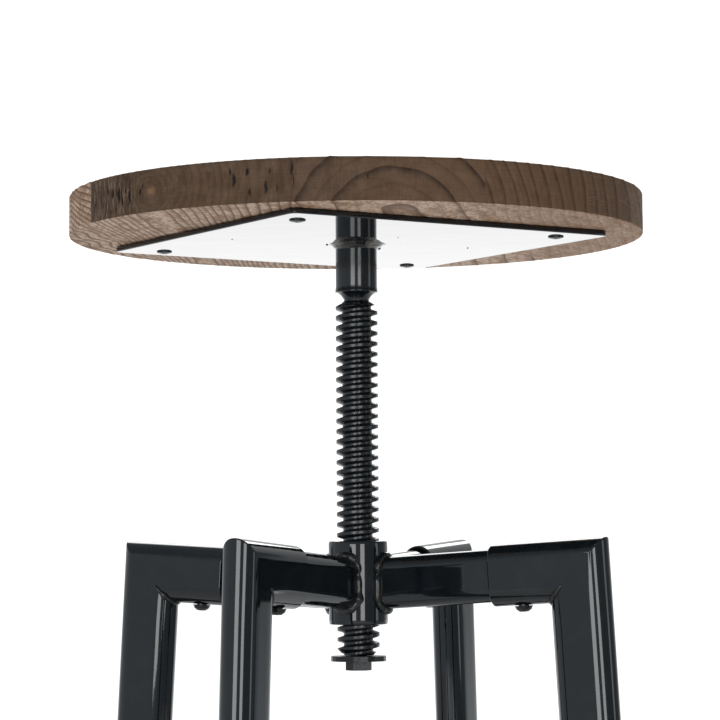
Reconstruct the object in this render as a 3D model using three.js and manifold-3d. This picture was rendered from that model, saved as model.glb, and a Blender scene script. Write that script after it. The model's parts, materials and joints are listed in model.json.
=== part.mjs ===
// Adjustable swivel stool. A round wooden seat stands on a threaded spindle that screws up and down in
// a hub, and four bent legs of flat-oval steel tube carry the hub.
// Millimetres, +Z up, origin on the floor under the middle of the hub. The first arm points along +X.
import * as THREE from 'three';
import { mergeVertices } from 'three/addons/utils/BufferGeometryUtils.js';
import Module from 'manifold-3d';

const wasm = await Module();
wasm.setup();

// Seat
const SEAT_TOP = 602;
const SEAT_DIAMETER = 333;
const SEAT_THICKNESS = 24;
const SEAT_TOP_ROUND = 1.8;
const SEAT_BOTTOM_CHAMFER = 0.8;

// Plate under the seat and its wood screws
const PLATE_SIDE = 209.5;
const PLATE_THICKNESS = 3;
const PLATE_CORNER = 4.5;
const PLATE_TURN = THREE.MathUtils.degToRad(12.4 - 45);
// The four holes are drilled a little askew of the plate.
const SCREW_TURN = PLATE_TURN - THREE.MathUtils.degToRad(2.5);
const SCREW_INSET = 21;
const SCREW_HEAD_DIAMETER = 9;
const SCREW_HEAD_HEIGHT = 1.4;
const SCREW_SHANK_DIAMETER = 4.2;
const SCREW_DEPTH = 15;
const SCREW_POINT = 4;

// Spindle and hub
const THREAD_MAJOR = 24.4;
const THREAD_MINOR = 17;
const THREAD_PITCH = 6;
const THREAD_CREST = 1.9;
const THREAD_ROOT = 1.5;
const THREAD_START = 33.5;
const THREAD_SIDES = 12;
const THREAD_RADIAL_PLAY = 0.5;
const THREAD_AXIAL_PLAY = 0.4;
const THREAD_RUN_OUT = 4;
const NECK_DIAMETER = 23.8;
const NECK_LENGTH = 28.3;
const NECK_LIP = 0.4;
const NECK_FLARE = { out: 1.8, down: 1.5 };
const RELIEF_DIAMETER = 15;
const SHOULDER_STEP = 0.6;
const WELD_LEG = 4;
const HUB_TOP = 402;
const HUB_DIAMETER = 34;
const HUB_LENGTH = 48;
const HUB_CHAMFER = 1;
const TRAVEL_UP = 17.5;
const STOP_PLAY = 0.5;
const STOP_WASHER_DIAMETER = 32;
const STOP_WASHER_THICKNESS = 3;
const STOP_BOLT_DIAMETER = 8;
const STOP_BOLT_DEPTH = 18;
const STOP_BOLT_HEAD = { acrossFlats: 13, height: 5 };

// Arms and legs. Each arm with its leg is one stiff L, turned about the hub so that the arm climbs
// outwards and the leg splays by the same angle.
const LEG_COUNT = 4;
const LEG_TILT = THREE.MathUtils.degToRad(3.4);
const ARM_HEIGHT = 376.8;
const ARM_REACH = 154.3;
const TUBE = { width: 20, depth: 35, wall: 2 };
const STUB = { width: 15, depth: 30, wall: 1.5 };
const SLEEVE_START = 85;
const STUB_END = 117;
const ARM_BOLT_REACH = 102;
const BOLT_DIAMETER = 6;
const BUTTON_HEAD = [[0, 3.5], [2.6, 3.3], [4.4, 2], [5.3, 0]];
const NUT = { acrossFlats: 10, height: 5 };
const NUT_DOME = [[0, 11], [2.6, 10.3], [4.4, 7.6], [4.7, 4], [0, 4]];

// Foot ring and feet
const RING_HEIGHT = 160;
const RING_BAR = 14;
const RING_CLEARANCE = 1;
const RING_SECTION_SIDES = 12;
const RING_SIDES = 48;
const GLIDE_THICKNESS = 6;
const GLIDE_PLUG = 18;
const GLIDE_WALL = 3;

// A piece that is cut by its neighbour stays this far from it.
const GAP = 0.3;
const SEAT_SIDES = 48;
const HUB_SIDES = 32;
const SPINDLE_SIDES = 24;
const ROUND_SIDES = 16;
const BOLT_SIDES = 12;
const OVAL_SIDES = 4;

// How far a cutting tool runs past the face it cuts, and the size of a block that cuts a half away.
const PAST = 1;
const CUTTING_BLOCK = 200;

const PAINT = { color: 0x101316, roughness: 0.16, metalness: 0.35 };
const WOOD = { color: 0x6b5646, roughness: 0.6, metalness: 0 };
const SCREW_BLACK = { color: 0x17181a, roughness: 0.35, metalness: 0.6 };
const PLASTIC = { color: 0x141414, roughness: 0.55, metalness: 0 };

const stool = new THREE.Group();
const quarterTurns = Array.from({ length: LEG_COUNT }, (_, leg) => (leg * 2 * Math.PI) / LEG_COUNT);

// ---- solids: closed three.js geometries joined and cut with manifold-3d ----

function toSolid(geometry) {
  const bare = geometry.clone();
  bare.deleteAttribute('normal');
  bare.deleteAttribute('uv');
  const merged = mergeVertices(bare, 1e-4);
  return new wasm.Manifold(new wasm.Mesh({
    numProp: 3,
    vertProperties: new Float32Array(merged.attributes.position.array),
    triVerts: new Uint32Array(merged.index.array),
  }));
}

function toGeometry(solid) {
  const mesh = solid.getMesh();
  const geometry = new THREE.BufferGeometry();
  geometry.setAttribute('position', new THREE.BufferAttribute(mesh.vertProperties, 3));
  geometry.setIndex(new THREE.BufferAttribute(mesh.triVerts, 1));
  return geometry;
}

function cut(body, ...tools) {
  let solid = toSolid(body);
  for (const tool of tools) {
    solid = solid.subtract(toSolid(tool));
  }
  return toGeometry(solid);
}

function common(body, mask) {
  return toGeometry(toSolid(body).intersect(toSolid(mask)));
}

function join(...bodies) {
  return toGeometry(bodies.map(toSolid).reduce((whole, body) => whole.add(body)));
}

function add(name, geometry, look, group = stool) {
  const mesh = new THREE.Mesh(geometry, new THREE.MeshStandardMaterial(look));
  mesh.name = name;
  group.add(mesh);
}

// A cylinder along +Z from low to high.
function rod(diameter, low, high, sides = ROUND_SIDES) {
  const geometry = new THREE.CylinderGeometry(diameter / 2, diameter / 2, high - low, sides);
  geometry.rotateX(Math.PI / 2);
  geometry.translate(0, 0, (low + high) / 2);
  return geometry;
}

// A drill for a rod: its flat sides stay clear of the rod by the gap.
function drill(diameter, low, high, sides = ROUND_SIDES) {
  return rod((diameter + 2 * GAP) / Math.cos(Math.PI / sides), low, high, sides);
}

// A solid of revolution about Z from [radius, height] pairs that start and end on the axis.
function turned(profile, sides) {
  const points = profile.map(([radius, height]) => new THREE.Vector2(radius, height));
  const geometry = new THREE.LatheGeometry(points, sides);
  geometry.rotateX(Math.PI / 2);
  return geometry;
}

// A flat oval: two straight sides and two half circles, wide in X and deep in Y.
function ovalShape(width, depth) {
  const radius = width / 2;
  const half = depth / 2 - radius;
  const shape = new THREE.Shape();
  shape.absarc(0, half, radius, 0, Math.PI, false);
  shape.absarc(0, -half, radius, Math.PI, 2 * Math.PI, false);
  shape.closePath();
  return shape;
}

function ovalBar(width, depth, length) {
  const settings = { depth: length, steps: 1, bevelEnabled: false, curveSegments: OVAL_SIDES };
  return new THREE.ExtrudeGeometry(ovalShape(width, depth), settings);
}

// A flat-oval tube along +X, standing on edge, from one reach to another. grow widens it all round.
function armBar(section, from, to, grow = 0) {
  const bar = ovalBar(section.width + 2 * grow, section.depth + 2 * grow, to - from);
  bar.rotateX(Math.PI / 2);
  bar.rotateZ(Math.PI / 2);
  bar.translate(from, 0, 0);
  return bar;
}

// A flat-oval tube along Z with its depth along X, about the given reach.
function legBar(section, reach, low, high, grow = 0) {
  const bar = ovalBar(section.width + 2 * grow, section.depth + 2 * grow, high - low);
  bar.rotateZ(Math.PI / 2);
  bar.translate(reach, 0, low);
  return bar;
}

// ---- seat, plate and screws ----

const seatBottom = SEAT_TOP - SEAT_THICKNESS;
const plateTop = seatBottom - GAP;
const plateBottom = plateTop - PLATE_THICKNESS;
const screwOffset = PLATE_SIDE / 2 - SCREW_INSET;

const UPWARDS = new THREE.Vector3(0, 0, 1);
const platePlaces = [[1, 1], [-1, 1], [-1, -1], [1, -1]].map(([x, y]) => (
  new THREE.Vector3(x * screwOffset, y * screwOffset, 0).applyAxisAngle(UPWARDS, SCREW_TURN)
));

function atPlace(geometry, place) {
  return geometry.translate(place.x, place.y, 0);
}

function screwHoles(low, high) {
  return platePlaces.map((place) => atPlace(drill(SCREW_SHANK_DIAMETER, low, high), place));
}

function seatBoard() {
  const radius = SEAT_DIAMETER / 2;
  const inner = radius - SEAT_TOP_ROUND;
  const topRound = [0, 1, 2].map((step) => {
    const angle = (step / 2) * (Math.PI / 2);
    const rise = SEAT_TOP_ROUND * Math.sin(angle);
    return [inner + SEAT_TOP_ROUND * Math.cos(angle), SEAT_TOP - SEAT_TOP_ROUND + rise];
  });
  const disc = turned([
    [0, seatBottom],
    [radius - SEAT_BOTTOM_CHAMFER, seatBottom],
    [radius, seatBottom + SEAT_BOTTOM_CHAMFER],
    ...topRound,
    [0, SEAT_TOP],
  ], SEAT_SIDES);
  return cut(disc, ...screwHoles(seatBottom - PAST, seatBottom + SCREW_DEPTH));
}

function roundedSquare(side, corner) {
  const half = side / 2 - corner;
  const shape = new THREE.Shape();
  shape.absarc(half, half, corner, 0, Math.PI / 2, false);
  shape.absarc(-half, half, corner, Math.PI / 2, Math.PI, false);
  shape.absarc(-half, -half, corner, Math.PI, 1.5 * Math.PI, false);
  shape.absarc(half, -half, corner, 1.5 * Math.PI, 2 * Math.PI, false);
  shape.closePath();
  return shape;
}

function seatPlate() {
  const settings = { depth: PLATE_THICKNESS, steps: 1, bevelEnabled: false, curveSegments: 2 };
  const plate = new THREE.ExtrudeGeometry(roundedSquare(PLATE_SIDE, PLATE_CORNER), settings);
  plate.rotateZ(PLATE_TURN);
  plate.translate(0, 0, plateBottom);
  return cut(plate, ...screwHoles(plateBottom - PAST, plateTop + PAST));
}

// A pointed shank with a shallow domed head under the plate.
function seatScrew(place) {
  const headTop = plateBottom - GAP;
  const tip = headTop + SCREW_DEPTH;
  const headRadius = SCREW_HEAD_DIAMETER / 2;
  const shankRadius = SCREW_SHANK_DIAMETER / 2;
  const screw = turned([
    [0, headTop - SCREW_HEAD_HEIGHT],
    [headRadius * 0.5, headTop - SCREW_HEAD_HEIGHT * 0.87],
    [headRadius * 0.87, headTop - SCREW_HEAD_HEIGHT * 0.5],
    [headRadius, headTop],
    [shankRadius, headTop],
    [shankRadius, tip - SCREW_POINT],
    [0, tip],
  ], BOLT_SIDES);
  return atPlace(screw, place);
}

// ---- spindle, hub and stop ----

// A threaded bar about Z between two heights, a little longer than asked for and closed by one flat
// face across the helix at each end. The surface follows the right-hand helix through zero height at
// +X, so a bar and a tap made here are in mesh wherever they are.
function threadedBar({ major, minor, crest, root }, low, high) {
  const flank = (THREAD_PITCH - crest - root) / 2;
  const outline = [
    [major / 2, -crest / 2],
    [major / 2, crest / 2],
    [minor / 2, crest / 2 + flank],
    [minor / 2, crest / 2 + flank + root],
  ];
  const firstTurn = Math.floor(low / THREAD_PITCH) - 2;
  const turns = Math.ceil(high / THREAD_PITCH) + 1 - firstTurn;
  const rings = turns * outline.length;
  const positions = [];
  const faces = [];
  const index = new Map();

  // Ring r at side s. After a full round the ring has become the one a turn higher.
  function corner(ring, side) {
    const wrapped = side === THREAD_SIDES ? [ring + outline.length, 0] : [ring, side];
    const key = wrapped.join();
    if (!index.has(key)) {
      const [radius, offset] = outline[wrapped[0] % outline.length];
      const turn = firstTurn + Math.floor(wrapped[0] / outline.length);
      const angle = (wrapped[1] / THREAD_SIDES) * 2 * Math.PI;
      const height = (turn + wrapped[1] / THREAD_SIDES) * THREAD_PITCH + offset;
      index.set(key, positions.length / 3);
      positions.push(radius * Math.cos(angle), radius * Math.sin(angle), height);
    }
    return index.get(key);
  }

  function axisPoint(height) {
    positions.push(0, 0, height);
    return positions.length / 3 - 1;
  }

  for (let side = 0; side < THREAD_SIDES; side += 1) {
    for (let ring = 0; ring < rings; ring += 1) {
      const a = corner(ring, side);
      const b = corner(ring, side + 1);
      const c = corner(ring + 1, side + 1);
      const d = corner(ring + 1, side);
      faces.push(a, b, c, a, c, d);
    }
  }
  const middle = THREAD_PITCH / 2;
  const bottom = axisPoint(firstTurn * THREAD_PITCH + middle);
  const top = axisPoint((firstTurn + turns) * THREAD_PITCH + middle);
  for (let side = 0; side < THREAD_SIDES; side += 1) {
    faces.push(bottom, corner(0, side + 1), corner(0, side));
    faces.push(top, corner(rings, side), corner(rings, side + 1));
  }
  for (let ring = 0; ring < outline.length; ring += 1) {
    faces.push(bottom, corner(ring, 0), corner(ring + 1, 0));
    faces.push(top, corner(rings + ring + 1, 0), corner(rings + ring, 0));
  }
  const bar = new THREE.BufferGeometry();
  bar.setAttribute('position', new THREE.Float32BufferAttribute(positions, 3));
  bar.setIndex(faces);
  return bar;
}

const spindleTop = plateBottom - GAP;
const threadTop = plateBottom - THREAD_START;
const hubBottom = HUB_TOP - HUB_LENGTH;
const washerTop = hubBottom - TRAVEL_UP - STOP_PLAY;
const washerBottom = washerTop - STOP_WASHER_THICKNESS;
const spindleBottom = washerTop + GAP;
const spindleThread = { major: THREAD_MAJOR, minor: THREAD_MINOR, crest: THREAD_CREST, root: THREAD_ROOT };

function spindle() {
  const neckRadius = NECK_DIAMETER / 2;
  const neckBottom = plateBottom - NECK_LENGTH;
  const envelope = turned([
    [0, spindleBottom],
    [THREAD_MINOR / 2, spindleBottom],
    [THREAD_MAJOR / 2 + PAST, spindleBottom + THREAD_RUN_OUT],
    [THREAD_MAJOR / 2 + PAST, threadTop - THREAD_RUN_OUT],
    [RELIEF_DIAMETER / 2, threadTop],
    [0, threadTop],
  ], SPINDLE_SIDES);
  const neck = turned([
    [0, threadTop - PAST],
    [RELIEF_DIAMETER / 2, threadTop - PAST],
    [RELIEF_DIAMETER / 2, threadTop + SHOULDER_STEP],
    [RELIEF_DIAMETER / 2 + NECK_FLARE.out, neckBottom - NECK_FLARE.down],
    [neckRadius + NECK_LIP, neckBottom],
    [neckRadius, neckBottom + NECK_LIP],
    [neckRadius, spindleTop - WELD_LEG],
    [neckRadius + WELD_LEG, spindleTop],
    [0, spindleTop],
  ], SPINDLE_SIDES);
  const thread = common(threadedBar(spindleThread, spindleBottom, threadTop), envelope);
  const boltHole = drill(STOP_BOLT_DIAMETER, spindleBottom - PAST, spindleBottom + STOP_BOLT_DEPTH);
  return cut(join(thread, neck), boltHole);
}

function hub() {
  const tap = {
    major: (THREAD_MAJOR + 2 * THREAD_RADIAL_PLAY) / Math.cos(Math.PI / THREAD_SIDES),
    minor: (THREAD_MINOR + 2 * THREAD_RADIAL_PLAY) / Math.cos(Math.PI / THREAD_SIDES),
    crest: THREAD_CREST + 2 * THREAD_AXIAL_PLAY,
    root: THREAD_ROOT - 2 * THREAD_AXIAL_PLAY,
  };
  const hubRadius = HUB_DIAMETER / 2;
  const body = turned([
    [0, hubBottom],
    [hubRadius - HUB_CHAMFER, hubBottom],
    [hubRadius, hubBottom + HUB_CHAMFER],
    [hubRadius, HUB_TOP - HUB_CHAMFER],
    [hubRadius - HUB_CHAMFER, HUB_TOP],
    [0, HUB_TOP],
  ], HUB_SIDES);
  return cut(body, threadedBar(tap, hubBottom, HUB_TOP));
}

function stopWasher() {
  const washer = rod(STOP_WASHER_DIAMETER, washerBottom, washerTop, SPINDLE_SIDES);
  return cut(washer, drill(STOP_BOLT_DIAMETER, washerBottom - PAST, washerTop + PAST));
}

function hexagon(acrossFlats, low, high) {
  return rod(acrossFlats / Math.cos(Math.PI / 6), low, high, 6);
}

function stopBolt() {
  const headTop = washerBottom - GAP;
  const head = hexagon(STOP_BOLT_HEAD.acrossFlats, headTop - STOP_BOLT_HEAD.height, headTop);
  const shankTop = spindleBottom + STOP_BOLT_DEPTH - PAST;
  const shank = rod(STOP_BOLT_DIAMETER, headTop - PAST, shankTop, BOLT_SIDES);
  return join(head, shank);
}

// ---- one arm with its leg, in the L's own upright frame ----

const tubeHalf = TUBE.depth / 2;
const postReach = ARM_REACH - tubeHalf;
const postBottom = -(ARM_HEIGHT + postReach * Math.sin(LEG_TILT)) / Math.cos(LEG_TILT);
const tubeEnd = postBottom + GLIDE_THICKNESS;

// The space on one side of the mitre between arm and leg, and half the gap: side 1 is above it.
function mitreSide(side) {
  const box = new THREE.BoxGeometry(CUTTING_BLOCK, CUTTING_BLOCK, CUTTING_BLOCK);
  box.translate(0, 0, side * (CUTTING_BLOCK - GAP) / 2);
  box.rotateY(-Math.PI / 4);
  box.translate(postReach, 0, 0);
  return box;
}

// The height in the L's own frame at which the foot ring's bolt crosses the leg.
const ringLevel = (RING_HEIGHT - ARM_HEIGHT - postReach * Math.sin(LEG_TILT)) / Math.cos(LEG_TILT);

// The hole of a bolt along X.
function crossDrill(from, to) {
  return drill(BOLT_DIAMETER, from, to).rotateY(Math.PI / 2);
}

// The hole of the bolt that comes up through the underside of stub and sleeve.
function armDrill() {
  return drill(BOLT_DIAMETER, -TUBE.depth, 0).translate(ARM_BOLT_REACH, 0, 0);
}

function stubArm() {
  const hubCut = rod(HUB_DIAMETER + 2 * GAP, -HUB_LENGTH, HUB_LENGTH, HUB_SIDES);
  hubCut.rotateY(LEG_TILT);
  const bore = armBar(STUB, -PAST, STUB_END + PAST, -STUB.wall);
  return cut(armBar(STUB, 0, STUB_END), bore, hubCut, armDrill());
}

function legSleeve() {
  const end = ARM_REACH + TUBE.depth;
  const outside = armBar(TUBE, SLEEVE_START, end);
  const bore = armBar(TUBE, SLEEVE_START - PAST, end + PAST, -TUBE.wall);
  return cut(outside, bore, mitreSide(-1), armDrill());
}

function legPost() {
  const end = 2 * TUBE.depth;
  const outside = legBar(TUBE, postReach, tubeEnd, end);
  const bore = legBar(TUBE, postReach, tubeEnd - PAST, end + PAST, -TUBE.wall);
  const boltHole = crossDrill(-TUBE.depth, TUBE.depth);
  boltHole.rotateY(LEG_TILT);
  boltHole.translate(postReach, 0, ringLevel);
  return cut(outside, bore, mitreSide(1), boltHole);
}

// A button head standing down from the given height, on a shank that rises to the second.
function buttonBolt(headTop, shankTop) {
  const dome = BUTTON_HEAD.map(([radius, drop]) => [radius, headTop - drop]);
  const head = turned([...dome, [0, headTop]], BOLT_SIDES);
  return join(head, rod(BOLT_DIAMETER, headTop - PAST, shankTop, BOLT_SIDES));
}

function armBolt() {
  const shankTop = -STUB.width / 2 + NUT.height;
  return buttonBolt(-tubeHalf - GAP, shankTop).translate(ARM_BOLT_REACH, 0, 0);
}

// The weld nut rests across the rounded bottom of the stub's bore.
function armNut() {
  const bore = { radius: STUB.width / 2 - STUB.wall, centre: STUB.depth / 2 - STUB.width / 2 };
  const low = -bore.centre - Math.sqrt(bore.radius ** 2 - (NUT.acrossFlats / 2) ** 2) + GAP;
  const high = low + NUT.height;
  const nut = hexagon(NUT.acrossFlats, low, high);
  nut.rotateZ(Math.PI / 6);
  const hole = drill(BOLT_DIAMETER, low - PAST, high + PAST, BOLT_SIDES);
  return cut(nut, hole).translate(ARM_BOLT_REACH, 0, 0);
}

// A plug in the leg's end on a wedge-shaped flange whose sole lies flat on the floor.
function footGlide() {
  const plugTop = tubeEnd + GLIDE_PLUG;
  const plugGrow = -TUBE.wall - GAP;
  const flange = legBar(TUBE, postReach, postBottom - TUBE.width / 2, tubeEnd - GAP);
  const plug = legBar(TUBE, postReach, tubeEnd - GAP - PAST, plugTop, plugGrow);
  const hollow = legBar(TUBE, postReach, tubeEnd, plugTop + PAST, plugGrow - GLIDE_WALL);
  const floor = new THREE.BoxGeometry(CUTTING_BLOCK, CUTTING_BLOCK, CUTTING_BLOCK);
  floor.translate(0, 0, -CUTTING_BLOCK / 2);
  floor.rotateY(LEG_TILT);
  floor.translate(postReach, 0, postBottom);
  return cut(join(flange, plug), floor, hollow);
}

// ---- foot ring with its bolts, along +X ----

const ringHole = postReach * Math.cos(LEG_TILT) - ringLevel * Math.sin(LEG_TILT);
const legInside = ringHole - tubeHalf / Math.cos(LEG_TILT);
const legOutside = ringHole + tubeHalf / Math.cos(LEG_TILT);
const ringRadius = legInside - RING_BAR / 2 - RING_CLEARANCE;

function footRing() {
  const ring = new THREE.TorusGeometry(ringRadius, RING_BAR / 2, RING_SECTION_SIDES, RING_SIDES);
  ring.translate(0, 0, RING_HEIGHT);
  const holes = quarterTurns.map((turn) => {
    const hole = crossDrill(ringRadius - RING_BAR, ringRadius + RING_BAR);
    return hole.translate(0, 0, RING_HEIGHT).rotateZ(turn);
  });
  return cut(ring, ...holes);
}

// The bolt comes from outside, so it is made head down and turned over.
function ringBolt() {
  const headFace = legOutside + RING_CLEARANCE;
  const shankEnd = ringRadius - RING_BAR / 2 - NUT.height - 3 * PAST;
  return buttonBolt(-headFace, -shankEnd).rotateY(-Math.PI / 2).translate(0, 0, RING_HEIGHT);
}

function ringNut() {
  const face = ringRadius - RING_BAR / 2 - RING_CLEARANCE;
  const nut = hexagon(NUT.acrossFlats, face - NUT.height, face);
  const dome = turned(NUT_DOME.map(([radius, back]) => [radius, face - back]), BOLT_SIDES);
  const hole = drill(BOLT_DIAMETER, face - NUT.height - 4 * PAST, face + PAST, BOLT_SIDES);
  return cut(join(nut, dome), hole).rotateY(Math.PI / 2).translate(0, 0, RING_HEIGHT);
}

// ---- assembly ----

add('seat_board', seatBoard(), WOOD);
add('seat_plate', seatPlate(), PAINT);
platePlaces.forEach((place, number) => add(`seat_screw_${number + 1}`, seatScrew(place), SCREW_BLACK));
add('spindle', spindle(), PAINT);
add('stop_washer', stopWasher(), SCREW_BLACK);
add('stop_bolt', stopBolt(), SCREW_BLACK);
add('hub', hub(), PAINT);
add('foot_ring', footRing(), PAINT);

quarterTurns.forEach((turn, leg) => {
  const quarter = new THREE.Group();
  quarter.rotation.z = turn;
  const tilted = new THREE.Group();
  tilted.rotation.y = -LEG_TILT;
  tilted.position.z = ARM_HEIGHT;
  quarter.add(tilted);
  stool.add(quarter);

  const number = leg + 1;
  add(`stub_arm_${number}`, stubArm(), PAINT, tilted);
  add(`leg_sleeve_${number}`, legSleeve(), PAINT, tilted);
  add(`leg_post_${number}`, legPost(), PAINT, tilted);
  add(`arm_bolt_${number}`, armBolt(), SCREW_BLACK, tilted);
  add(`arm_nut_${number}`, armNut(), SCREW_BLACK, tilted);
  add(`foot_glide_${number}`, footGlide(), PLASTIC, tilted);
  add(`ring_bolt_${number}`, ringBolt(), SCREW_BLACK, quarter);
  add(`ring_nut_${number}`, ringNut(), SCREW_BLACK, quarter);
});

export default stool;
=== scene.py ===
import json
import math

import bpy
import numpy as np
from mathutils import Matrix, Vector

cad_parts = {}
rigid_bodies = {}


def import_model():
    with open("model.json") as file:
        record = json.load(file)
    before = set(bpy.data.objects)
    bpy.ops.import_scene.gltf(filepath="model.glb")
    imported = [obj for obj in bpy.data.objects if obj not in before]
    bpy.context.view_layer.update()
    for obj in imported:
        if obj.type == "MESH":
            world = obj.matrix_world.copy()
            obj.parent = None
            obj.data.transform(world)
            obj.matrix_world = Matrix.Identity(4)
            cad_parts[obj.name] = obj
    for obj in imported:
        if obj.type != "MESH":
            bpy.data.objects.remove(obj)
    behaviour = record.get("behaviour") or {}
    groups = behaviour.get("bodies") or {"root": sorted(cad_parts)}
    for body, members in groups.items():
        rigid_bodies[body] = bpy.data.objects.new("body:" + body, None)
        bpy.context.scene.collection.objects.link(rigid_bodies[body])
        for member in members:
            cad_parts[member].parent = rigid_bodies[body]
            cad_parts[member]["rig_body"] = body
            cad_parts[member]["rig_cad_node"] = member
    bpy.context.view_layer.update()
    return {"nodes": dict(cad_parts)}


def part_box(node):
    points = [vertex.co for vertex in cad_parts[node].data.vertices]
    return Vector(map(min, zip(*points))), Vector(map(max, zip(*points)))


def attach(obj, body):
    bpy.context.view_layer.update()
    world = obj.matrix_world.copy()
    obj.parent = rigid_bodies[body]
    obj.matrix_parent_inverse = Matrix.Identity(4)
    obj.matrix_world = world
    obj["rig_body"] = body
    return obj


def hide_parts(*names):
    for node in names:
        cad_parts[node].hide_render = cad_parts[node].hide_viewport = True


# An industrial screw stool: brushed wooden seat, black square plate, threaded spindle and four bent
# legs of flat-oval tube. The stool's own lengths are in millimetres, and MM turns them into the
# scene's metres. The camera and the studio are in metres.
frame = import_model()

MM = 0.001

# ---- driving dimensions, read from the frame where it holds them ----

seat_low, seat_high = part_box("seat_board")
plate_low, plate_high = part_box("seat_plate")
spindle_low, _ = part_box("spindle")
hub_low, hub_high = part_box("hub")
ring_low, ring_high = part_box("foot_ring")

SEAT_RADIUS = (seat_high.x - seat_low.x) / 2 / MM
SEAT_BOTTOM = seat_low.z / MM
SEAT_THICKNESS = (seat_high.z - seat_low.z) / MM
PLATE_BOTTOM = plate_low.z / MM
PLATE_TOP = plate_high.z / MM
PLATE_SIDE = 209.5
PLATE_TURN = math.radians(12.4 - 45)
HUB_RADIUS = (hub_high.x - hub_low.x) / 2 / MM
HUB_TOP = hub_high.z / MM
HUB_BOTTOM = hub_low.z / MM
LEG_TILT = math.radians(3.4)
ARM_HEIGHT = 376.8
ARM_REACH = 154.3
TUBE_WIDTH, TUBE_DEPTH, TUBE_WALL = 20, 35, 2
STUB_WIDTH, STUB_DEPTH, STUB_WALL = 15, 30, 1.5
SLEEVE_START, STUB_END = 85, 117
THREAD_PITCH = 6
THREAD_MAJOR, THREAD_MINOR = 24.4, 17
THREAD_CREST, THREAD_ROOT = 1.9, 1.5
THREAD_DEPTH = (THREAD_MAJOR - THREAD_MINOR) / 2
NECK_RADIUS = 12.0
NECK_END = PLATE_BOTTOM - 28.3
THREAD_END = PLATE_BOTTOM - 33.5
QUARTERS = [(leg + 1, leg * math.pi / 2) for leg in range(4)]

# ---- formulas that work both on numbers and on shader nodes ----


class Wire:
    """A value inside a material, which can be computed with like a number."""

    def __init__(self, tree, socket):
        self.tree, self.socket = tree, socket

    def op(self, kind, *others):
        node = self.tree.nodes.new("ShaderNodeMath")
        node.operation = kind
        self.tree.links.new(self.socket, node.inputs[0])
        for place, other in enumerate(others, start=1):
            if isinstance(other, Wire):
                self.tree.links.new(other.socket, node.inputs[place])
            else:
                node.inputs[place].default_value = float(other)
        return Wire(self.tree, node.outputs[0])

    def __add__(self, other):
        return self.op("ADD", other)

    __radd__ = __add__

    def __mul__(self, other):
        return self.op("MULTIPLY", other)

    __rmul__ = __mul__

    def __sub__(self, other):
        return self.op("SUBTRACT", other)

    def __rsub__(self, other):
        return self * -1 + other

    def __truediv__(self, other):
        return self.op("DIVIDE", other)


def sine(x):
    return x.op("SINE") if isinstance(x, Wire) else np.sin(x)


def root(x):
    return x.op("SQRT") if isinstance(x, Wire) else np.sqrt(x)


def fraction(x):
    return x.op("FRACT") if isinstance(x, Wire) else x - np.floor(x)


def power(x, exponent):
    return x.op("POWER", exponent) if isinstance(x, Wire) else np.power(x, exponent)


def exponential(x):
    return x.op("EXPONENT") if isinstance(x, Wire) else np.exp(x)


def above(x, limit):
    return x.op("GREATER_THAN", limit) if isinstance(x, Wire) else (x > limit) * 1.0


def capped(x):
    if isinstance(x, Wire):
        return x.op("MINIMUM", 1).op("MAXIMUM", 0)
    return np.clip(x, 0, 1)


# ---- the wood as a solid block: growth rings of each board, in millimetres ----

GRAIN_ANGLE = math.radians(106)

# One glued board: where it starts across the grain; where its pith runs (across, height above the
# seat's underside, and how both change along the grain); the spacing of its rings and how fast that
# grows outwards; how fast the trunk tapers; how far the rings wave up and down; how thin the dark
# line of each ring is; how strong the false rings halfway between are; and how plain the lines show
# in the end grain and along the grain.
BOARDS = [
    {"start": -200, "pith": -182, "height": -60, "lean": 0.0, "rise": 0.03, "ring": 2.9, "growth": 0.0,
     "taper": 0.0, "wave": 0.9, "thin": 3, "false": 0.0, "plain": 1.0, "plain_along": 0.9},
    {"start": -132, "pith": -101.5, "height": 11.5, "lean": -0.094, "rise": 0.0, "ring": 2.8,
     "growth": 0.017, "taper": 0.0015, "wave": 0.2, "thin": 3, "false": 0.0, "plain": 0.3,
     "plain_along": 0.9},
    {"start": -6, "pith": 41, "height": -7, "lean": -0.03, "rise": 0.07, "ring": 18.4, "growth": 0.0,
     "taper": 0.0, "wave": 0.5, "thin": 9, "false": 0.35, "plain": 1.0, "plain_along": 0.9},
    {"start": 92, "pith": 28, "height": -5, "lean": -0.05, "rise": 0.02, "ring": 7.2, "growth": -0.006,
     "taper": 0.0, "wave": 0.4, "thin": 4, "false": 0.3, "plain": 0.65, "plain_along": 0.35},
]
PITH_BOARD = BOARDS[1]
# Where along the grain the trunk has the width that the taper starts from.
RIM_ALONG = -140
# The dark line ends this many times more steeply than it builds up.
LINE_STEEPNESS = 4
FALSE_LINE_THINNESS = 1.6


def ring_count(board, across, along, up):
    """How many growth rings lie between the board's pith and a point."""
    waver = 1.5 * sine(along / 47 + board["pith"]) + 0.6 * sine(along / 17 + up / 9)
    swell = board["wave"] * sine(along / 7.5 + board["pith"])
    taper = 1 + board["taper"] * (along - RIM_ALONG)
    side = (across - board["pith"] - board["lean"] * along + waver) * taper
    rise = up - board["height"] - board["rise"] * along + swell
    distance = root(side * side + rise * rise)
    uneven = 0.7 * sine(distance / 6.3) + 0.35 * sine(across / 3.1 + up / 4.7)
    distance = distance + uneven
    return distance / (distance * board["growth"] + board["ring"])


def dark_line(rings, thin):
    """The dark line that ends each ring: it builds up slowly and stops soon after its darkest point."""
    share = fraction(rings)
    return power(share, thin) * (1 - power(share, thin * LINE_STEEPNESS)) * 2


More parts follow.
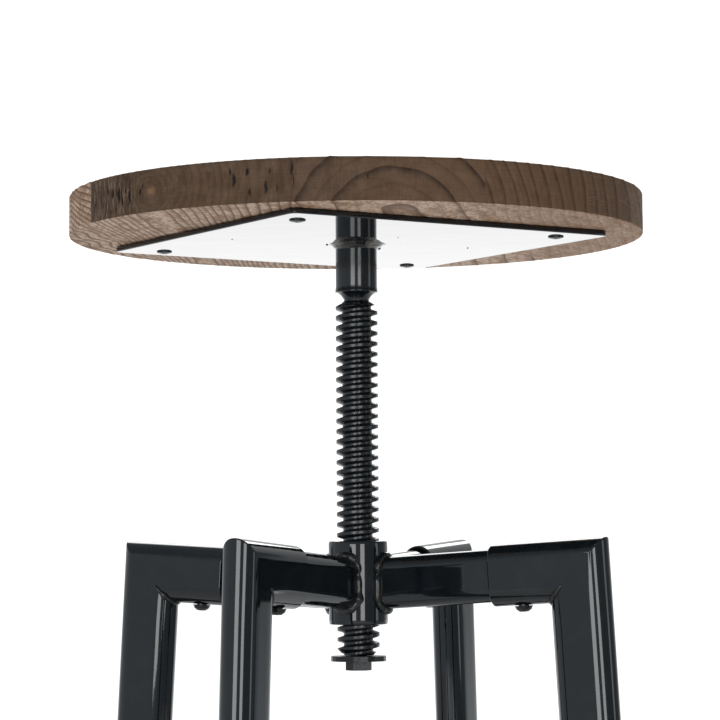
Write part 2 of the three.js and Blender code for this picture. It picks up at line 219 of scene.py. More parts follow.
def late_wood(across, along, up, end_grain=1.0):
    """0 in the soft spring wood, rising to 1 in the hard dark line that ends each ring."""
    total = 0
    for number, board in enumerate(BOARDS):
        inside = above(across, board["start"])
        if number + 1 < len(BOARDS):
            inside = inside * (1 - above(across, BOARDS[number + 1]["start"]))
        rings = ring_count(board, across, along, up)
        line = dark_line(rings, board["thin"])
        if board["false"]:
            line = line + board["false"] * dark_line(rings + 0.5, board["thin"] * FALSE_LINE_THINNESS)
        plain = end_grain * board["plain"] + (1 - end_grain) * board["plain_along"]
        total = total + inside * line * plain
    return capped(total)


def along_and_across(x, y):
    """Turns X and Y into the distance across the grain and the distance along it."""
    across = x * math.sin(GRAIN_ANGLE) - y * math.cos(GRAIN_ANGLE)
    along = x * math.cos(GRAIN_ANGLE) + y * math.sin(GRAIN_ANGLE)
    return across, along


# Cracks and torn pores in the end grain: across, height above the underside, half width, half height.
CRACKS = [
    (-110.2, 12, 1.0, 4.4), (-107.6, 8.5, 0.6, 2.6), (-102.6, 10.5, 1.0, 4.6), (-105.2, 14, 0.5, 2.2),
    (-114.6, 13.5, 0.6, 2.8), (-95.5, 12, 0.6, 2.2), (-93.4, 15, 0.4, 1.6), (-38.3, 13, 1.1, 4.4),
    (-40.4, 17.6, 0.6, 2.2), (-30.8, 17, 1.0, 2.4), (-29.3, 6.3, 0.8, 2.2), (-20.5, 8.5, 1.0, 4.2),
    (-18.4, 17, 0.4, 1.6), (-14.5, 7.6, 0.4, 2.0), (-6.5, 18.0, 0.8, 4.2), (-5.5, 11, 0.35, 3.6),
    (33.5, 13, 0.35, 1.8),
]
CRACK_FALLOFF = -1.2


def crack_depth(across, along, up):
    """1 in the middle of a crack on the seat's near side, falling to 0 at its edge."""
    total = 0
    for middle, height, half_width, half_height in CRACKS:
        torn = 0.2 * sine(up * 0.9 + middle) + 0.1 * sine(up * 2.1 + middle * 3)
        x = (across - middle + torn) / half_width
        z = (up - height) / half_height
        total = total + exponential((x * x + z * z) * CRACK_FALLOFF)
    return capped(total * (1 - above(along, 0)) * (1 - above(up, SEAT_THICKNESS - 0.2)))


# ---- meshes ----


def mesh_object(name, verts, faces, smooth=True):
    mesh = bpy.data.meshes.new(name)
    mesh.from_pydata([tuple(v) for v in verts], [], faces)
    mesh.update()
    if smooth:
        mesh.polygons.foreach_set("use_smooth", [True] * len(mesh.polygons))
    obj = bpy.data.objects.new(name, mesh)
    bpy.context.scene.collection.objects.link(obj)
    return obj


def grid_faces(rows, columns, closed_rows=False):
    """Quads of a grid whose columns run round a closed ring. closed_rows joins the last row to the first."""
    row = np.arange(rows if closed_rows else rows - 1)[:, None]
    column = np.arange(columns)[None, :]
    below = (row + 1) % rows
    right = (column + 1) % columns
    quads = np.stack([row * columns + column, row * columns + right, below * columns + right,
                      below * columns + column], axis=-1)
    return quads.reshape(-1, 4).tolist()


def finish_piece(obj, body, slot, material, *nodes):
    """Gives a piece its material and the body it moves with, and hides the CAD nodes it replaces. slot is
    not used.
    """
    obj.data.materials.append(material)
    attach(obj, body)
    if nodes:
        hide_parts(*nodes)


def sharpen(obj, degrees=35):
    """Keeps creases sharper than an angle crisp on a smooth shaded piece."""
    with bpy.context.temp_override(object=obj, active_object=obj, selected_objects=[obj],
                                   selected_editable_objects=[obj]):
        bpy.ops.object.shade_smooth_by_angle(angle=math.radians(degrees))


def bevel(obj, width, segments=3, degrees=30):
    """Rounds the edges that are sharper than an angle. width is in millimetres."""
    modifier = obj.modifiers.new("rounded_edges", "BEVEL")
    modifier.width = width * MM
    modifier.segments = segments
    modifier.limit_method = "ANGLE"
    modifier.angle_limit = math.radians(degrees)


def oval_loop(width, depth, grow=0.0, steps=20):
    """Points round a flat oval, counterclockwise: width along the first axis, depth along the second."""
    radius = width / 2 + grow
    half = (depth - width) / 2
    upper = np.linspace(0, math.pi, steps + 1)
    lower = upper + math.pi
    first = np.stack([radius * np.cos(upper), half + radius * np.sin(upper)], axis=1)
    second = np.stack([radius * np.cos(lower), -half + radius * np.sin(lower)], axis=1)
    sides = 4
    down = [first[-1] + (second[0] - first[-1]) * k / sides for k in range(1, sides)]
    up = [second[-1] + (first[0] - second[-1]) * k / sides for k in range(1, sides)]
    return np.array([*first, *down, *second, *up])


def quarter_frame(turn):
    """The placement of one arm: turned about the spindle, and tilted with its leg."""
    spin = Matrix.Rotation(turn, 4, "Z")
    return spin @ Matrix.Translation((0, 0, ARM_HEIGHT * MM)) @ Matrix.Rotation(-LEG_TILT, 4, "Y")


def move_mesh(obj, matrix):
    """Moves the mesh itself, so that the object keeps its origin on the floor."""
    obj.data.transform(matrix)


# ---- materials ----


def new_material(name):
    material = bpy.data.materials.new(name)
    material.use_nodes = True
    tree = material.node_tree
    shader = tree.nodes["Principled BSDF"]
    return material, tree, shader


def object_point(tree):
    """The point being shaded, in millimetres of the rest pose."""
    source = tree.nodes.new("ShaderNodeTexCoord")
    stretch = tree.nodes.new("ShaderNodeVectorMath")
    stretch.operation = "SCALE"
    stretch.inputs["Scale"].default_value = 1 / MM
    tree.links.new(source.outputs["Object"], stretch.inputs[0])
    return stretch.outputs[0]


def split(tree, vector):
    node = tree.nodes.new("ShaderNodeSeparateXYZ")
    tree.links.new(vector, node.inputs[0])
    return [Wire(tree, output) for output in node.outputs]


def joined(tree, x, y, z):
    node = tree.nodes.new("ShaderNodeCombineXYZ")
    for place, value in enumerate((x, y, z)):
        if isinstance(value, Wire):
            tree.links.new(value.socket, node.inputs[place])
        else:
            node.inputs[place].default_value = value
    return node.outputs[0]


def speckle(tree, vector, scale, detail, roughness, distortion=0.0):
    node = tree.nodes.new("ShaderNodeTexNoise")
    node.inputs["Scale"].default_value = scale
    node.inputs["Detail"].default_value = detail
    node.inputs["Roughness"].default_value = roughness
    node.inputs["Distortion"].default_value = distortion
    tree.links.new(vector, node.inputs["Vector"])
    return Wire(tree, node.outputs["Fac"])


def ranged(value, low, high, out_low=0.0, out_high=1.0):
    """Maps low..high onto out_low..out_high and stops there."""
    node = value.tree.nodes.new("ShaderNodeMapRange")
    limits = {"From Min": low, "From Max": high, "To Min": out_low, "To Max": out_high}
    for name, number in limits.items():
        node.inputs[name].default_value = number
    value.tree.links.new(value.socket, node.inputs["Value"])
    return Wire(value.tree, node.outputs["Result"])


def blended(tree, factor, first, second):
    """A colour between two, each a colour or another node's colour."""
    node = tree.nodes.new("ShaderNodeMix")
    node.data_type = "RGBA"
    tree.links.new(factor.socket, node.inputs["Factor"])
    for socket, value in (("A", first), ("B", second)):
        target = next(entry for entry in node.inputs if entry.name == socket and entry.type == "RGBA")
        if isinstance(value, tuple):
            target.default_value = (*value, 1)
        else:
            tree.links.new(value, target)
    return next(entry for entry in node.outputs if entry.type == "RGBA")


def bumped(tree, shader, height, strength, distance):
    node = tree.nodes.new("ShaderNodeBump")
    node.inputs["Strength"].default_value = strength
    node.inputs["Distance"].default_value = distance * MM
    tree.links.new(height.socket, node.inputs["Height"])
    tree.links.new(node.outputs["Normal"], shader.inputs["Normal"])


# Linear colours of the wood: along the grain, in the end grain, and the painted shade deep in its cracks and
# pits.
LONG_GRAIN = {"grey": (0.362, 0.212, 0.126), "brown": (0.295, 0.150, 0.074), "line": (0.125, 0.060, 0.030),
              "lime": (0.70, 0.52, 0.395)}
END_GRAIN = {"grey": (0.110, 0.067, 0.041), "brown": (0.074, 0.040, 0.021), "warm": (0.165, 0.090, 0.050),
             "line": (0.024, 0.0125, 0.0072), "pith": (0.24, 0.125, 0.065), "pale": (0.24, 0.175, 0.125)}
CRACK_SHADE = (0.010, 0.006, 0.0045)
PITH_FALLOFF = -0.2

# The speckles in the wood: how fine they are across, along and up, in grains per millimetre, then their
# detail, roughness and distortion.
WOOD_SPECKLES = {
    "fibre": ((1.1, 0.05, 1.1), 6, 0.65, 0.0),
    "patches": ((0.02, 0.012, 0.05), 3, 0.5, 0.0),
    "mottle": ((0.12, 0.05, 0.12), 4, 0.6, 0.0),
    "level_fibre": ((0.05, 0.05, 1.6), 5, 0.6, 0.0),
    "torn": ((0.85, 0.4, 0.13), 4, 0.65, 0.4),
    "lime": ((0.45, 0.16, 0.5), 5, 0.7, 0.3),
}

# Where these change across the grain: the tearing by the wire brush fades out, a warmer stain comes in,
# the lime fades out, and level dashes come in.
BRUSHED = {"from": -108, "to": -92}
WARMED = {"from": 20, "to": 110}
LIMED = {"from": 75, "to": 110}
DASHED = {"from": 128, "to": 150}


def pith_spot(across, along, up):
    """1 at the pith of the board that shows it, fading out over a few millimetres."""
    side = across - PITH_BOARD["pith"] - PITH_BOARD["lean"] * along
    rise = up - PITH_BOARD["height"]
    return exponential((side * side + rise * rise * 1.3) * PITH_FALLOFF)


def wood_speckle(tree, name, across, along, up):
    fineness, detail, roughness, distortion = WOOD_SPECKLES[name]
    grain = joined(tree, across * fineness[0], along * fineness[1], up * fineness[2])
    return speckle(tree, grain, 1.0, detail, roughness, distortion)


def wood_material():
    """Brushed softwood: pale and limed along the grain, dark stained in the end grain."""
    material, tree, shader = new_material("brushed_wood")
    x, y, z = split(tree, object_point(tree))
    across, along = along_and_across(x, y)
    up = z - SEAT_BOTTOM
    spots = {name: wood_speckle(tree, name, across, along, up) for name in WOOD_SPECKLES}
    mottle = spots["mottle"]

    facing = tree.nodes.new("ShaderNodeTexCoord")
    normal_x, normal_y, normal_z = split(tree, facing.outputs["Normal"])
    _, end_on = along_and_across(normal_x, normal_y)
    pale_board = 1 - above(across, BOARDS[1]["start"])
    on_side = ranged(normal_z * normal_z, 0.6, 0.3)
    stained_side = on_side * above(across, 0) * 0.85
    end_grain = capped(ranged(end_on * end_on, 0.04, 0.3) + stained_side) * (1 - pale_board * 0.75)
    late = late_wood(across, along, up, end_grain)

    # along the grain
    long_light = blended(tree, ranged(spots["patches"], 0.35, 0.65), LONG_GRAIN["grey"], LONG_GRAIN["brown"])
    long_grain = blended(tree, late * ranged(mottle, 0.3, 0.7, 0.75, 1), long_light, LONG_GRAIN["line"])

    # end grain
    end_light = blended(tree, ranged(mottle, 0.35, 0.65), END_GRAIN["grey"], END_GRAIN["brown"])
    warmth = ranged(across, WARMED["from"], WARMED["to"], 0, 0.6)
    end_light = blended(tree, warmth, end_light, END_GRAIN["warm"])
    end_face = blended(tree, late * ranged(mottle, 0.3, 0.65, 0.6, 1), end_light, END_GRAIN["line"])
    level_streaks = ranged(spots["level_fibre"], 0.45, 0.7, 0, 0.25)
    streaked = blended(tree, level_streaks, end_face, END_GRAIN["line"])
    with_pith = blended(tree, pith_spot(across, along, up) * 0.8, streaked, END_GRAIN["pith"])
    stained = blended(tree, end_grain, long_grain, with_pith)

    # fibres and lime on top of both
    fibres = ranged(spots["fibre"], 0.45, 0.66, 0, 0.5) * (1 - end_grain * 0.8)
    fibred = blended(tree, fibres, stained, LONG_GRAIN["line"])
    limed_spots = ranged(spots["lime"], 0.38, 0.54) * ranged(mottle, 0.36, 0.54)
    limed_spots = limed_spots * (1 - end_grain) * (1 - late)
    limed_spots = limed_spots * ranged(across, LIMED["from"], LIMED["to"], 0.85, 0.4)
    limed = blended(tree, limed_spots, fibred, LONG_GRAIN["lime"])

    # torn fibres in the end grain, and the painted shade of its pores and cracks
    brushed = ranged(across, BRUSHED["from"], BRUSHED["to"], 1, 0.12) * end_grain
    dashes = ranged(spots["level_fibre"], 0.53, 0.6) * ranged(mottle, 0.5, 0.6)
    dashes = dashes * ranged(across, DASHED["from"], DASHED["to"]) * on_side
    pale_fibres = ranged(spots["torn"], 0.53, 0.64, 0, 0.5) * brushed + dashes * 0.45
    pale = blended(tree, pale_fibres, limed, END_GRAIN["pale"])
    # Painted shade: the torn pores and the cracks are darkened towards near black for the shade inside them.
    shaded_pits = blended(tree, ranged(spots["torn"], 0.49, 0.38, 0, 0.85) * brushed, pale, CRACK_SHADE)
    shaded_cracks = blended(tree, ranged(crack_depth(across, along, up), 0.2, 0.7), shaded_pits, CRACK_SHADE)
    tree.links.new(shaded_cracks, shader.inputs["Base Color"])

    rough = ranged(spots["fibre"], 0.3, 0.7, 0.55, 0.8)
    tree.links.new(rough.socket, shader.inputs["Roughness"])
    shader.inputs["Specular IOR Level"].default_value = 0.18
    relief = late * 0.3 + spots["fibre"] * (1 - end_grain * 0.7) * 0.7
    relief = relief + spots["level_fibre"] * end_grain * 0.25 + spots["torn"] * brushed * 0.6
    bumped(tree, shader, relief, 0.35, 0.4)
    return material


# Linear colours of the coating: clean, hazy, and its dust.
PAINT_TONE = (0.0045, 0.0062, 0.0078)
PAINT_HAZE = (0.0086, 0.0118, 0.0148)
DUST_TONE = (0.22, 0.21, 0.20)


def paint_material(name, rough=0.05, thread_rough=0.0, wave=1.2):
    """Glossy black coating: crisp reflections, faint waves, dull patches, dust and a few scratches.
    Below the spindle's neck it is rougher by thread_rough. wave is the depth of the long waves."""
    material, tree, shader = new_material(name)
    point = object_point(tree)
    peel = speckle(tree, point, 0.2, 2, 0.4)
    waves = speckle(tree, point, 0.03, 2, 0.5)
    haze = speckle(tree, point, 0.045, 5, 0.62, 0.4)
    dust = speckle(tree, point, 1.9, 2, 0.5)
    x, y, z = split(tree, point)
    scratch = speckle(tree, joined(tree, x * 0.9 + z * 0.3, y * 0.9, z * 0.05), 1.0, 3, 0.6, 0.2)

    dull = blended(tree, ranged(haze, 0.5, 0.75), PAINT_TONE, PAINT_HAZE)
    dusty = blended(tree, ranged(dust, 0.72, 0.78, 0, 0.1), dull, DUST_TONE)
    tree.links.new(dusty, shader.inputs["Base Color"])
    roughness = ranged(haze, 0.5, 0.8, rough, rough + 0.07) + ranged(scratch, 0.68, 0.75, 0, 0.1)
    if thread_rough:
        roughness = roughness + ranged(z, THREAD_END - 1, THREAD_END, thread_rough, 0)
    tree.links.new(roughness.socket, shader.inputs["Roughness"])
    shader.inputs["IOR"].default_value = 1.5
    bumped(tree, shader, peel * 0.25 + waves * wave, 0.08, 0.3)
    return material


WELD_TONE = (0.008, 0.009, 0.010)


def weld_material(name, stain):
    """Weld metal under the coating: dark gloss with small pits and a stain where the coating is thin."""
    material, tree, shader = new_material(name)
    point = object_point(tree)
    tint = speckle(tree, point, 0.12, 3, 0.5)
    pits = speckle(tree, point, 0.9, 3, 0.5)
    colour = blended(tree, ranged(tint, 0.4, 0.66), WELD_TONE, stain)
    tree.links.new(colour, shader.inputs["Base Color"])
    tree.links.new(ranged(tint, 0.3, 0.7, 0.1, 0.24).socket, shader.inputs["Roughness"])
    shader.inputs["Metallic"].default_value = 0.2
    bumped(tree, shader, pits, 0.2, 0.25)
    return material


def metal_material(name, tone, rough, metallic):
    """Blackened steel with fine grit and stains."""
    material, tree, shader = new_material(name)
    point = object_point(tree)
    stain = speckle(tree, point, 0.25, 5, 0.65)
    grit = speckle(tree, point, 2.5, 3, 0.6)
    colour = blended(tree, ranged(stain, 0.35, 0.7), tone, tuple(channel * 0.62 for channel in tone))
    tree.links.new(colour, shader.inputs["Base Color"])
    tree.links.new(ranged(grit, 0.3, 0.7, rough - 0.08, rough + 0.1).socket, shader.inputs["Roughness"])
    shader.inputs["Metallic"].default_value = metallic
    bumped(tree, shader, grit, 0.25, 0.12)
    return material


def plastic_material():
    """Matt moulded plastic, a little worn."""
    material, tree, shader = new_material("moulded_black_plastic")
    point = object_point(tree)
    spark = speckle(tree, point, 1.4, 3, 0.6)
    wear = speckle(tree, point, 0.08, 5, 0.6)
    colour = blended(tree, ranged(wear, 0.45, 0.7), (0.016, 0.016, 0.016), (0.034, 0.033, 0.031))
    tree.links.new(colour, shader.inputs["Base Color"])
    tree.links.new(ranged(wear, 0.3, 0.7, 0.42, 0.6).socket, shader.inputs["Roughness"])
    bumped(tree, shader, spark, 0.5, 0.15)
    return material


WOOD = wood_material()
PAINT = paint_material("gloss_black_paint")
PLATE_PAINT = paint_material("plate_paint", rough=0.03, wave=4.0)
SPINDLE_PAINT = paint_material("spindle_paint", rough=0.12, thread_rough=0.15)
WELD = weld_material("painted_weld", (0.018, 0.016, 0.014))
# The plate weld's brown patches are partly the weld's own colour under its thin coating and partly a painted
# brown reflection.
BROWN_WELD_WITH_PAINTED_REFLECTION = weld_material("thin_coated_weld_with_painted_reflection", (0.12, 0.10, 0.08))
SCREW_BLACK = metal_material("blackened_steel", (0.012, 0.0125, 0.013), rough=0.26, metallic=0.3)
PLASTIC = plastic_material()

# ---- the seat ----

SEAT_SIDES = 1080
SEAT_EDGE = 1.8
SEAT_CHAMFER = 0.8
SEAT_RING_STEP = {"top": 1.8, "bottom": 2.2}
# How far the soft wood between the rings is worn back, and how deep the cracks go.
RELIEF = {"top": 0.32, "side": 0.1, "bottom": 0.16}
CRACK_DEPTH = 1.3
# The underside stays flat within this radius, under the plate.
FLAT_RADIUS = PLATE_SIDE * 0.71


def seat_profile():
    """Radius, height above the underside and outward direction of each ring of the seat's skin."""
    rings = []
    for radius in np.arange(2.0, SEAT_RADIUS - SEAT_CHAMFER - 0.5, SEAT_RING_STEP["bottom"]):
        rings.append((radius, 0.0, 0.0, -1.0))
    rings.append((SEAT_RADIUS - SEAT_CHAMFER, 0.0, -0.4, -1.0))
    rings.append((SEAT_RADIUS - SEAT_CHAMFER * 0.3, SEAT_CHAMFER * 0.3, 0.7, -0.7))
    side_top = SEAT_THICKNESS - SEAT_EDGE
    for height in np.linspace(SEAT_CHAMFER, side_top, 20):
        rings.append((SEAT_RADIUS, height, 1.0, 0.0))
    for angle in np.linspace(0, math.pi / 2, 6)[1:]:
        out, up = math.cos(angle), math.sin(angle)
        rings.append((SEAT_RADIUS - SEAT_EDGE + SEAT_EDGE * out, side_top + SEAT_EDGE * up, out, up))
    step = SEAT_RING_STEP["top"]
    for radius in np.arange(SEAT_RADIUS - SEAT_EDGE - step, 1.5, -step):
        rings.append((radius, SEAT_THICKNESS, 0.0, 1.0))
    return np.array(rings)


def seat():
    """The round board, with its rings in relief and its cracks cut in."""
    rings = seat_profile()
    outward, upward = rings[:, 2:3], rings[:, 3:4]
    turn = np.linspace(0, 2 * math.pi, SEAT_SIDES, endpoint=False)[None, :]
    radius, up = rings[:, 0:1], rings[:, 1:2] + 0 * turn
    x, y = radius * np.cos(turn), radius * np.sin(turn)
    across, along = along_and_across(x, y)
    depth = np.where(upward < 0, RELIEF["bottom"], RELIEF["side"])
    depth = np.where(upward > 0, RELIEF["top"], depth)
    on_plate = (np.abs(upward + 1) < 0.01) & (radius < FLAT_RADIUS)
    worn = np.where(on_plate, 0, depth * (1 - late_wood(across, along, up)))
    sunk = worn + CRACK_DEPTH * crack_depth(across, along, up) * np.abs(outward)
    x = x - np.cos(turn) * outward * sunk
    y = y - np.sin(turn) * outward * sunk
    z = SEAT_BOTTOM + up - upward * sunk
    verts = np.stack([x, y, z], axis=-1).reshape(-1, 3)
    middles = [[0, 0, SEAT_BOTTOM], [0, 0, SEAT_BOTTOM + SEAT_THICKNESS - RELIEF["top"]]]
    verts = np.vstack([verts, middles]) * MM
    bottom, top = len(verts) - 2, len(verts) - 1
    faces = grid_faces(len(rings), SEAT_SIDES)
    last = (len(rings) - 1) * SEAT_SIDES
    for side in range(SEAT_SIDES):
        after = (side + 1) % SEAT_SIDES
        faces.append([bottom, after, side])
        faces.append([top, last + side, last + after])
    obj = mesh_object("seat_disc", verts, faces)
    finish_piece(obj, "seat", "wood", WOOD, "seat_board")


# ---- plate, screws, spindle and the weld between them ----

PLATE_CORNER = 4.5
# How far the screw heads and the fillet reach into the plate.
SEATED = 0.1


def plate():
    """The square plate with rounded corners."""
    steps = 10
    half = PLATE_SIDE / 2 - PLATE_CORNER
    loop = []
    for quarter in range(4):
        middle = math.pi / 4 + quarter * math.pi / 2
        centre = half * math.sqrt(2) * np.array([math.cos(middle), math.sin(middle)])
        for angle in np.linspace(middle - math.pi / 4, middle + math.pi / 4, steps):
            loop.append(centre + PLATE_CORNER * np.array([math.cos(angle), math.sin(angle)]))
    loop = np.array(loop)
    count = len(loop)
    bottom = np.column_stack([loop, np.full(count, PLATE_BOTTOM)])
    top = np.column_stack([loop, np.full(count, PLATE_TOP)])
    faces = grid_faces(2, count)
    faces.append(list(range(count))[::-1])
    faces.append(list(range(count, 2 * count)))
    obj = mesh_object("square_plate", np.vstack([bottom, top]) * MM, faces)
    move_mesh(obj, Matrix.Rotation(PLATE_TURN, 4, "Z"))
    bevel(obj, 0.6)
    sharpen(obj)
    finish_piece(obj, "seat", "black_paint", PLATE_PAINT, "seat_plate")


SCREW_RADIUS, SCREW_HEIGHT = 4.5, 1.35
# The cross recess: the half width of its arms, how fast they narrow outwards and how far they reach,
# then its depth in the middle and how fast that lessens outwards.
CROSS_HALF_WIDTH, CROSS_TAPER, CROSS_REACH = 0.55, 0.08, 2.1
CROSS_DEPTH, CROSS_RISE = 0.9, 0.42


def screw_head(number):
    """A dome with a cross recess, hanging under the plate."""
    low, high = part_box(f"seat_screw_{number}")
    centre = (low + high) / 2 / MM
    sides = 64
    reach = np.array([0.02, *np.linspace(0.25, SCREW_RADIUS * 0.96, 22), SCREW_RADIUS, SCREW_RADIUS])
    turn = np.linspace(0, 2 * math.pi, sides, endpoint=False)
    r, a = np.meshgrid(reach, turn, indexing="ij")
    x, y = r * np.cos(a), r * np.sin(a)
    head = SCREW_HEIGHT * np.sqrt(np.clip(1 - (r / (SCREW_RADIUS * 1.08)) ** 2, 0, 1))
    nearer = np.minimum(np.abs(x), np.abs(y))
    farther = np.maximum(np.abs(x), np.abs(y))
    in_cross = (nearer < CROSS_HALF_WIDTH - CROSS_TAPER * farther) & (farther < CROSS_REACH)
    recess = np.where(in_cross, CROSS_DEPTH - CROSS_RISE * r, 0)
    z = PLATE_BOTTOM - head + np.clip(recess, 0, None)
    z[-1] = PLATE_BOTTOM + SEATED
    verts = np.stack([centre.x + x, centre.y + y, z], axis=-1).reshape(-1, 3) * MM
    faces = [face[::-1] for face in grid_faces(len(reach), sides)]
    faces.append(list(range(sides)))
    faces.append(list(range((len(reach) - 1) * sides, len(reach) * sides))[::-1])
    obj = mesh_object(f"screw_head_{number}", verts, faces)
    sharpen(obj, 40)
    finish_piece(obj, "seat", "black_screw", SCREW_BLACK, f"seat_screw_{number}")


def thread_height(height, turn):
    """0 at the root of the thread and 1 on its crest, rounded at both."""
    phase = fraction((height / THREAD_PITCH) - turn / (2 * math.pi) + 0.5) - 0.5
    root_edge = 0.5 - THREAD_ROOT / 2 / THREAD_PITCH
    crest_edge = THREAD_CREST / 2 / THREAD_PITCH
    ramp = np.clip((root_edge - np.abs(phase)) / (root_edge - crest_edge), 0, 1)
    return ramp * ramp * (3 - 2 * ramp) * 0.5 + ramp * 0.5


# The neck from the thread up: height over the end of the thread, and radius.
NECK_PROFILE = [(0, 7.3), (1.2, 7.5), (2.4, 8.3), (3.6, 9.2), (4.5, 10.3), (5.1, 11.7), (5.2, 12.3),
                (5.35, 12.42), (5.8, 12.36), (9.0, 11.96), (9.35, NECK_RADIUS), (33.5, NECK_RADIUS)]
# How steeply the last turn of the thread runs out into the neck.
RUN_OUT = 1.6


def spindle():
    """The screw with its neck, as one skin of rings."""
    sides = 72
    low = spindle_low.z / MM
    thread_levels = np.arange(low, THREAD_END + 0.1, 0.25)
    lip_levels = [THREAD_END + height for height, _ in NECK_PROFILE[1:-1]]
    neck_levels = np.linspace(NECK_END + 6, PLATE_BOTTOM, 10)
    heights = np.concatenate([thread_levels, lip_levels, neck_levels])
    turn = np.linspace(0, 2 * math.pi, sides, endpoint=False)
    h, a = np.meshgrid(heights, turn, indexing="ij")
    thread = THREAD_MINOR / 2 + THREAD_DEPTH * thread_height(h, a)
    lead_in = THREAD_MINOR / 2 + (h - low)
    run_out = NECK_PROFILE[0][1] + (THREAD_END - h) * RUN_OUT
    threaded = np.minimum(thread, np.minimum(lead_in, run_out))
    neck = np.interp(h - THREAD_END, *np.array(NECK_PROFILE).T)
    radius = np.where(h < THREAD_END, threaded, neck)
    verts = np.stack([radius * np.cos(a), radius * np.sin(a), h], axis=-1).reshape(-1, 3) * MM
    faces = grid_faces(len(heights), sides)
    faces.append(list(range(sides))[::-1])
    faces.append(list(range((len(heights) - 1) * sides, len(heights) * sides)))
    obj = mesh_object("screw_spindle", verts, faces)
    sharpen(obj, 50)
    finish_piece(obj, "seat", "black_paint", SPINDLE_PAINT, "spindle")


def bead(name, path, radii, seed, *, lumps, ripple, closed=True):
    """A weld bead: a lumpy rope along a path of points, with its radius at each of them. ripple is the
    length of one of its scallops."""
    path = np.array(path, float)
    count, sides = len(path), 12
    draw = np.random.default_rng(seed)
    ahead = np.roll(path, -1, axis=0) - np.roll(path, 1, axis=0)
    if not closed:
        ahead[0], ahead[-1] = path[1] - path[0], path[-1] - path[-2]
    ahead /= np.linalg.norm(ahead, axis=1)[:, None]
    travelled = np.concatenate([[0], np.cumsum(np.linalg.norm(np.diff(path, axis=0), axis=1))])
    scallop = 0.5 + 0.5 * np.cos(2 * math.pi * travelled / ripple + draw.uniform(0, 6))
    slow = sum(np.sin(travelled / wave + draw.uniform(0, 6)) for wave in (1.3, 2.3, 4.1)) / 3
    verts = []
    for k in range(count):
        side = Vector(ahead[k]).cross(Vector((0, 0, 1)))
        if side.length < 1e-3:
            side = Vector((1, 0, 0))
        side.normalize()
        up = side.cross(Vector(ahead[k]))
        size = radii[k] * (1 + lumps * slow[k] - 0.16 * scallop[k])
        for corner in range(sides):
            angle = 2 * math.pi * corner / sides
            wobble = size * (1 + draw.uniform(-0.05, 0.05))
            outward = side * (wobble * math.cos(angle)) + up * (wobble * math.sin(angle))
            verts.append(Vector(path[k]) + outward)
    faces = grid_faces(count, sides, closed_rows=closed)
    if not closed:
        faces.append(list(range(sides))[::-1])
        faces.append(list(range((count - 1) * sides, count * sides)))
    obj = mesh_object(name, [v * MM for v in verts], faces)
    soft = obj.modifiers.new("soft", "SUBSURF")
    soft.levels = 1
    soft.render_levels = 1
    finish_piece(obj, "base", "black_paint", WELD)


# The fillet round the neck: how far it reaches out along the plate and down the neck, on average and
# how much that varies, and the direction it is widest in.
FILLET_REACH, FILLET_REACH_CHANGE = 4.6, 0.9
FILLET_DROP, FILLET_DROP_CHANGE = 3.5, 0.25
FILLET_WIDEST = math.radians(35)


def plate_weld():
    """The fillet round the neck: wide and thin at the plate, with a ridge where the runs overlap."""
    draw = np.random.default_rng(4)
    sides, rows = 180, 14
    root_radius = NECK_RADIUS - 0.2
    turn = np.linspace(0, 2 * math.pi, sides, endpoint=False)
    waves = sum(np.sin(count * turn + draw.uniform(0, 6)) / count for count in (2, 3, 5, 9, 14, 23))
    reach = FILLET_REACH + FILLET_REACH_CHANGE * (np.cos(turn - FILLET_WIDEST) + waves / 2)
    drop = FILLET_DROP + FILLET_DROP_CHANGE * waves[::-1]
    share = np.linspace(0, 1, rows)[:, None]
    ridge = 0.5 * np.exp(-(((share - 0.45 - 0.2 * np.sin(turn)) / 0.16) ** 2))
    ripple = 0.12 * np.sin(turn * 34 + 2.2 * share) * np.sin(math.pi * share)
    sag = -0.55 * np.sin(math.pi * share) + ridge + ripple
    radius = root_radius + reach * share ** 1.15 + sag * 0.5
    height = PLATE_BOTTOM - drop * (1 - share) ** 1.1 - sag * 0.5 * (1 - share)
    height = np.minimum(height, PLATE_BOTTOM + SEATED)
    skin = np.stack([radius * np.cos(turn), radius * np.sin(turn), height], axis=-1).reshape(-1, 3)
    seated = np.full(sides, PLATE_BOTTOM + SEATED)
    top = np.stack([root_radius * np.cos(turn), root_radius * np.sin(turn), seated], axis=-1)
    faces = grid_faces(rows + 1, sides, closed_rows=True)
    obj = mesh_object("plate_weld", np.vstack([skin, top]) * MM, [face[::-1] for face in faces])
    # Its brown patches are partly the weld's own colour and partly a painted brown reflection.
    finish_piece(obj, "seat", "black_paint", BROWN_WELD_WITH_PAINTED_REFLECTION)


# Beads of weld metal thrown onto the plate: how far to the right and away from the camera, and radius.
SPATTER = [(-17.0, 1.0, 0.7), (13.4, 20.0, 1.2), (66.0, 22.0, 0.5), (-71.0, -28.0, 0.4), (24.0, -31.0, 0.35)]


def spatter():
    facing = Matrix.Rotation(CAMERA_AZIMUTH, 4, "Z")
    for number, (right, away, size) in enumerate(SPATTER, start=1):
        place = facing @ Vector((right, away, 0))
        obj = dome(f"spatter_{number}", place.x, place.y, PLATE_BOTTOM, size)
        finish_piece(obj, "seat", "black_paint", WELD)


DOME_FLATNESS = 0.8


